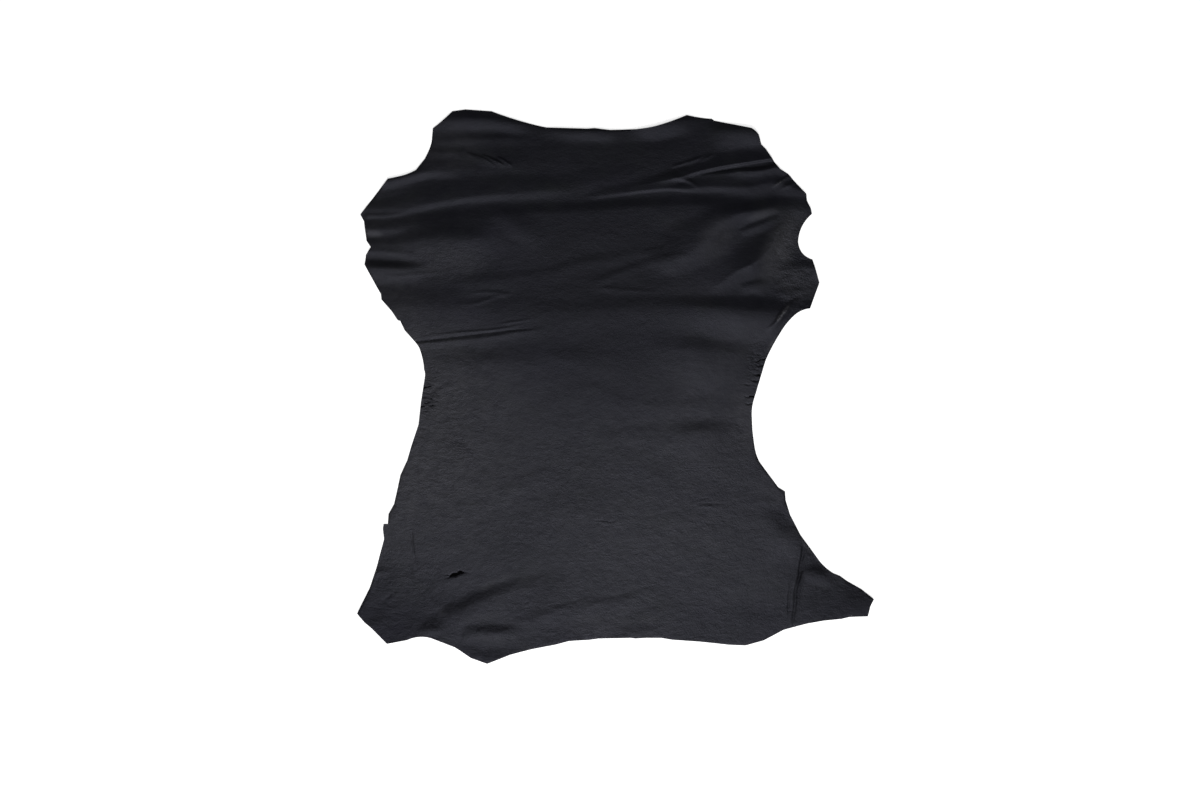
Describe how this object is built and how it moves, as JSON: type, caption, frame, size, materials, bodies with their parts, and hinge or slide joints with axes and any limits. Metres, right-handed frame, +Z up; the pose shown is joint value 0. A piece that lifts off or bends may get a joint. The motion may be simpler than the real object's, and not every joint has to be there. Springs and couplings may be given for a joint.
{
  "type": "leather hide",
  "caption": "Whole black leather hide with a trimmed irregular edge, lying flat with low soft folds across its shoulders.",
  "frame": {"origin": "centre of the bounding box at the underside, which is the surface that the hide lies on", "axes": "+Z up out of the grain side, +Y along the backbone towards the neck, +X to the right seen from above with the neck away"},
  "size_m": [0.826, 0.886, 0.0069],
  "materials": {
    "leather": "smooth black grain with a soft sheen"
  },
  "bodies": {
    "root": {"hide": "leather"}
  },
  "joints": []
}
